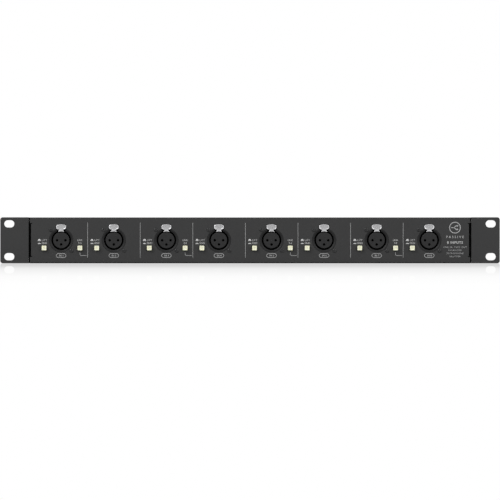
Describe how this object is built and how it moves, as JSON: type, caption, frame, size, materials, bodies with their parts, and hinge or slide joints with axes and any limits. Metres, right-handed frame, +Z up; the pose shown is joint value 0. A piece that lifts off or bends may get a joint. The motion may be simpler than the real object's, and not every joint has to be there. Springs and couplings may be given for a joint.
{
  "type": "microphone splitter",
  "caption": "Slim rack-width box with latching round sockets and small push buttons in front and pin sockets at the rear, which splits microphone signals.",
  "frame": {"origin": "middle of the plane where the ears' rear faces meet the rack rails, at mid-height", "axes": "+X to the right seen from the front, +Y from front to rear, +Z up"},
  "size_m": [0.4826, 0.1441, 0.0444],
  "materials": {
    "charcoal_powder_coat": "fine satin powder coat",
    "black_screw_finish": "black oxide, slightly oily",
    "black_moulding": "fine moulded grain",
    "insulator_moulding": "smooth moulded",
    "satin_latch_metal": "satin die casting",
    "plated_steel": "bright zinc plating",
    "contact_plating": "plated contact",
    "ivory_cap_plastic": "semi-gloss moulded",
    "switch_body_plastic": "moulded",
    "green_circuit_board": "solder mask",
    "laminated_core_steel": "laminated sheet edges",
    "bobbin_plastic": "moulded",
    "copper_winding": "enamelled wire",
    "screening_can": "drawn and annealed",
    "resistor_coating": "dipped coating",
    "capacitor_case": "moulded box",
    "ribbon_insulation": "flat ribbed insulation",
    "wire_insulation": "soft insulation"
  },
  "bodies": {
    "case": {"board_pillars": "plated_steel", "board_screws": "plated_steel", "box_headers": "black_moulding", "chassis_tray": "charcoal_powder_coat", "cover_screws": "black_screw_finish", "ear_screws": "black_screw_finish", "earth_lug": "plated_steel", "earth_nut": "plated_steel", "earth_wire": "wire_insulation", "front_board": "green_circuit_board", "input_contacts": "contact_plating", "input_housings": "black_moulding", "input_inserts": "insulator_moulding", "input_screws": "black_screw_finish", "latch_pivot_pins": "plated_steel", "latch_springs": "plated_steel", "lift_capacitors": "capacitor_case", "lift_resistors": "resistor_coating", "output_housings": "black_moulding", "output_insulators": "insulator_moulding", "output_pins": "contact_plating", "output_screws": "black_screw_finish", "rack_ear_left": "charcoal_powder_coat", "rack_ear_right": "charcoal_powder_coat", "rear_board": "green_circuit_board", "ribbon_cables": "ribbon_insulation", "switch_housings": "switch_body_plastic", "switch_terminals": "plated_steel", "top_cover": "charcoal_powder_coat", "transformer_board": "green_circuit_board", "transformer_bobbins": "bobbin_plastic", "transformer_cans": "screening_can", "transformer_cores": "laminated_core_steel", "transformer_windings": "copper_winding"},
    "latch_1": {"latch_1": "satin_latch_metal"},
    "latch_2": {"latch_2": "satin_latch_metal"},
    "latch_3": {"latch_3": "satin_latch_metal"},
    "latch_4": {"latch_4": "satin_latch_metal"},
    "latch_5": {"latch_5": "satin_latch_metal"},
    "latch_6": {"latch_6": "satin_latch_metal"},
    "latch_7": {"latch_7": "satin_latch_metal"},
    "latch_8": {"latch_8": "satin_latch_metal"},
    "lift_button_1": {"lift_button_1": "ivory_cap_plastic"},
    "lift_button_2": {"lift_button_2": "ivory_cap_plastic"},
    "lift_button_3": {"lift_button_3": "ivory_cap_plastic"},
    "lift_button_4": {"lift_button_4": "ivory_cap_plastic"},
    "lift_button_5": {"lift_button_5": "ivory_cap_plastic"},
    "lift_button_6": {"lift_button_6": "ivory_cap_plastic"},
    "lift_button_7": {"lift_button_7": "ivory_cap_plastic"},
    "lift_button_8": {"lift_button_8": "ivory_cap_plastic"},
    "link_button_1_2": {"link_button_1_2": "ivory_cap_plastic"},
    "link_button_3_4": {"link_button_3_4": "ivory_cap_plastic"},
    "link_button_5_6": {"link_button_5_6": "ivory_cap_plastic"},
    "link_button_7_8": {"link_button_7_8": "ivory_cap_plastic"}
  },
  "joints": [
    {"name": "latch_1_hinge", "type": "hinge", "parent": "case", "child": "latch_1", "pos_m": [-0.1824, 0.0015, 0.0156], "axis": [1, 0, 0], "range_deg": [0, 8], "deforming": ["latch_springs"]},
    {"name": "latch_2_hinge", "type": "hinge", "parent": "case", "child": "latch_2", "pos_m": [-0.1316, 0.0015, 0.0156], "axis": [1, 0, 0], "range_deg": [0, 8], "deforming": ["latch_springs"]},
    {"name": "latch_3_hinge", "type": "hinge", "parent": "case", "child": "latch_3", "pos_m": [-0.0808, 0.0015, 0.0156], "axis": [1, 0, 0], "range_deg": [0, 8], "deforming": ["latch_springs"]},
    {"name": "latch_4_hinge", "type": "hinge", "parent": "case", "child": "latch_4", "pos_m": [-0.03, 0.0015, 0.0156], "axis": [1, 0, 0], "range_deg": [0, 8], "deforming": ["latch_springs"]},
    {"name": "latch_5_hinge", "type": "hinge", "parent": "case", "child": "latch_5", "pos_m": [0.0208, 0.0015, 0.0156], "axis": [1, 0, 0], "range_deg": [0, 8], "deforming": ["latch_springs"]},
    {"name": "latch_6_hinge", "type": "hinge", "parent": "case", "child": "latch_6", "pos_m": [0.0716, 0.0015, 0.0156], "axis": [1, 0, 0], "range_deg": [0, 8], "deforming": ["latch_springs"]},
    {"name": "latch_7_hinge", "type": "hinge", "parent": "case", "child": "latch_7", "pos_m": [0.1224, 0.0015, 0.0156], "axis": [1, 0, 0], "range_deg": [0, 8], "deforming": ["latch_springs"]},
    {"name": "latch_8_hinge", "type": "hinge", "parent": "case", "child": "latch_8", "pos_m": [0.1732, 0.0015, 0.0156], "axis": [1, 0, 0], "range_deg": [0, 8], "deforming": ["latch_springs"]},
    {"name": "lift_button_1_slide", "type": "slide", "parent": "case", "child": "lift_button_1", "axis": [0, 1, 0], "range_m": [0, 0.0025]},
    {"name": "lift_button_2_slide", "type": "slide", "parent": "case", "child": "lift_button_2", "axis": [0, 1, 0], "range_m": [0, 0.0025]},
    {"name": "lift_button_3_slide", "type": "slide", "parent": "case", "child": "lift_button_3", "axis": [0, 1, 0], "range_m": [0, 0.0025]},
    {"name": "lift_button_4_slide", "type": "slide", "parent": "case", "child": "lift_button_4", "axis": [0, 1, 0], "range_m": [0, 0.0025]},
    {"name": "lift_button_5_slide", "type": "slide", "parent": "case", "child": "lift_button_5", "axis": [0, 1, 0], "range_m": [0, 0.0025]},
    {"name": "lift_button_6_slide", "type": "slide", "parent": "case", "child": "lift_button_6", "axis": [0, 1, 0], "range_m": [0, 0.0025]},
    {"name": "lift_button_7_slide", "type": "slide", "parent": "case", "child": "lift_button_7", "axis": [0, 1, 0], "range_m": [0, 0.0025]},
    {"name": "lift_button_8_slide", "type": "slide", "parent": "case", "child": "lift_button_8", "axis": [0, 1, 0], "range_m": [0, 0.0025]},
    {"name": "link_button_1_2_slide", "type": "slide", "parent": "case", "child": "link_button_1_2", "axis": [0, 1, 0], "range_m": [0, 0.0025]},
    {"name": "link_button_3_4_slide", "type": "slide", "parent": "case", "child": "link_button_3_4", "axis": [0, 1, 0], "range_m": [0, 0.0025]},
    {"name": "link_button_5_6_slide", "type": "slide", "parent": "case", "child": "link_button_5_6", "axis": [0, 1, 0], "range_m": [0, 0.0025]},
    {"name": "link_button_7_8_slide", "type": "slide", "parent": "case", "child": "link_button_7_8", "axis": [0, 1, 0], "range_m": [0, 0.0025]}
  ]
}
